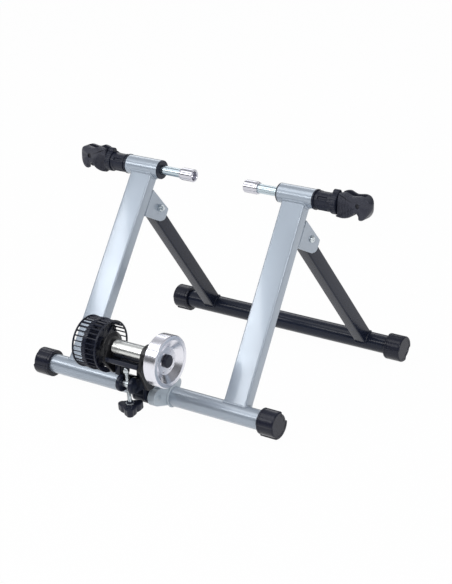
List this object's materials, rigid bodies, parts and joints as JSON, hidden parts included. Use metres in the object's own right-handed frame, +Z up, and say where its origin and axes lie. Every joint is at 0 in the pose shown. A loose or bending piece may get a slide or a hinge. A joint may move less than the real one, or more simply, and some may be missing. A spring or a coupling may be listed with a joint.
{
  "type": "wheel-on turbo trainer",
  "caption": "Folding indoor bicycle trainer: tubular A-frame with two lever clamps for the wheel axle and a tilting roller unit with a fan and a flywheel.",
  "frame": {"origin": "centre of the footprint, on the floor under the feet", "axes": "+X along the base tubes, from the fan to the flywheel (the rider's right); +Y from the base tube that carries the roller unit to the folding frame's base tube (the way the bicycle faces); +Z up"},
  "size_m": [0.682, 0.6123, 0.4191],
  "materials": {
    "silver_paint": "semi-gloss silver paint, light bluish grey",
    "black_paint": "semi-gloss black paint",
    "black_plastic": "moulded black plastic with a soft sheen",
    "foot_rubber": "smooth black rubber-like moulding",
    "zinc": "bright zinc plate",
    "chrome": "polished chrome plate",
    "machined_steel": "turned and polished steel",
    "steel": "plain ground steel"
  },
  "bodies": {
    "front_frame": {"front_base_tube": "silver_paint", "front_leg_left": "silver_paint", "front_leg_right": "silver_paint", "clamp_tube_left": "silver_paint", "clamp_tube_right": "silver_paint", "hinge_bracket_left": "silver_paint", "hinge_bracket_right": "silver_paint", "hinge_bolt_left": "zinc", "hinge_bolt_right": "zinc", "hinge_nut_left": "zinc", "hinge_nut_right": "zinc", "hinge_spacer_inner_left": "black_plastic", "hinge_spacer_inner_right": "black_plastic", "hinge_spacer_outer_left": "black_plastic", "hinge_spacer_outer_right": "black_plastic", "clamp_bush_left": "black_plastic", "clamp_bush_right": "black_plastic", "clamp_sleeve_left": "black_plastic", "clamp_sleeve_right": "black_plastic", "unit_bracket": "silver_paint", "adjuster_bracket": "black_paint", "pivot_bolt": "zinc", "pivot_nut": "zinc", "pivot_spacer": "zinc"},
    "rear_frame": {"rear_base_tube": "black_paint", "rear_leg_left": "black_paint", "rear_leg_right": "black_paint"},
    "foot_fl": {"foot_front_left": "foot_rubber"},
    "foot_fr": {"foot_front_right": "foot_rubber"},
    "foot_rl": {"foot_rear_left": "foot_rubber"},
    "foot_rr": {"foot_rear_right": "foot_rubber"},
    "collar_l": {"lock_collar_left": "black_plastic"},
    "collar_r": {"lock_collar_right": "black_plastic"},
    "rod_l": {"clamp_rod_left": "zinc", "clamp_cup_left": "chrome", "lever_pin_left": "steel"},
    "rod_r": {"clamp_rod_right": "zinc", "clamp_cup_right": "chrome", "lever_pin_right": "steel"},
    "lever_l": {"clamp_lever_left": "black_plastic"},
    "lever_r": {"clamp_lever_right": "black_plastic"},
    "trunnion": {"trunnion_nut": "zinc"},
    "thrust": {"thrust_cap": "black_plastic"},
    "screw": {"adjuster_screw": "zinc", "adjuster_knob": "black_plastic", "screw_washer": "zinc", "jam_nut": "black_paint"},
    "carriage": {"carriage_yoke": "black_paint", "yoke_arm_left": "black_paint", "yoke_arm_right": "black_paint", "bearing_left": "steel", "bearing_right": "steel"},
    "rotor": {"roller": "machined_steel", "roller_axle": "steel", "fan_wheel": "black_plastic", "flywheel": "machined_steel", "flywheel_cap": "black_plastic"}
  },
  "joints": [
    {"name": "frame_fold", "type": "hinge", "parent": "front_frame", "child": "rear_frame", "pos_m": [0, 0.04078, 0.309], "axis": [-1, 0, 0], "range_deg": [0, 68]},
    {"name": "foot_fl_turn", "type": "hinge", "parent": "front_frame", "child": "foot_fl", "pos_m": [-0.265, -0.1842, 0.027], "axis": [1, 0, 0], "continuous": true},
    {"name": "foot_fr_turn", "type": "hinge", "parent": "front_frame", "child": "foot_fr", "pos_m": [0.265, -0.1842, 0.027], "axis": [1, 0, 0], "continuous": true},
    {"name": "foot_rl_turn", "type": "hinge", "parent": "rear_frame", "child": "foot_rl", "pos_m": [-0.265, 0.2788, 0.027], "axis": [1, 0, 0], "continuous": true},
    {"name": "foot_rr_turn", "type": "hinge", "parent": "rear_frame", "child": "foot_rr", "pos_m": [0.265, 0.2788, 0.027], "axis": [1, 0, 0], "continuous": true},
    {"name": "collar_l_spin", "type": "hinge", "parent": "front_frame", "child": "collar_l", "pos_m": [-0.2646, 0.0318, 0.392], "axis": [-1, 0, 0], "range_deg": [0, 1320]},
    {"name": "rod_l_slide", "type": "slide", "parent": "front_frame", "child": "rod_l", "axis": [-1, 0, 0], "range_m": [0, 0.022]},
    {"name": "lever_l_swing", "type": "hinge", "parent": "rod_l", "child": "lever_l", "pos_m": [-0.315, 0.0318, 0.397], "axis": [0, 1, 0], "range_deg": [0, 80]},
    {"name": "collar_r_spin", "type": "hinge", "parent": "front_frame", "child": "collar_r", "pos_m": [0.2646, 0.0318, 0.392], "axis": [1, 0, 0], "range_deg": [0, 1320]},
    {"name": "rod_r_slide", "type": "slide", "parent": "front_frame", "child": "rod_r", "axis": [1, 0, 0], "range_m": [0, 0.022]},
    {"name": "lever_r_swing", "type": "hinge", "parent": "rod_r", "child": "lever_r", "pos_m": [0.315, 0.0318, 0.397], "axis": [0, -1, 0], "range_deg": [0, 80]},
    {"name": "knob_spin", "type": "hinge", "parent": "thrust", "child": "screw", "pos_m": [0.007, -0.2757, 0.074], "axis": [0, -0.1271, 0.9919], "range_deg": [0, 6480]},
    {"name": "screw_travel", "type": "slide", "parent": "trunnion", "child": "thrust", "axis": [0, -0.1271, 0.9919], "range_m": [0, 0.0225]},
    {"name": "trunnion_swivel", "type": "hinge", "parent": "front_frame", "child": "trunnion", "pos_m": [0.007, -0.2757, 0.074], "axis": [-1, 0, 0], "range_deg": [0, 41]},
    {"name": "carriage_tilt", "type": "hinge", "parent": "front_frame", "child": "carriage", "pos_m": [0.007, -0.2282, 0.038], "axis": [-1, 0, 0], "range_deg": [0, 25]},
    {"name": "rotor_spin", "type": "hinge", "parent": "carriage", "child": "rotor", "pos_m": [0, -0.2562, 0.131], "axis": [1, 0, 0], "continuous": true}
  ],
  "couplings": [
    {"joint": "collar_l_spin", "follows": "rod_l_slide", "rad_per_m": 1047.2},
    {"joint": "collar_r_spin", "follows": "rod_r_slide", "rad_per_m": 1047.2},
    {"joint": "screw_travel", "follows": "knob_spin", "m_per_rad": 0.00019894},
    {"joint": "trunnion_swivel", "follows": "knob_spin", "ratio": 0.006327},
    {"joint": "carriage_tilt", "follows": "knob_spin", "ratio": 0.003858}
  ]
}
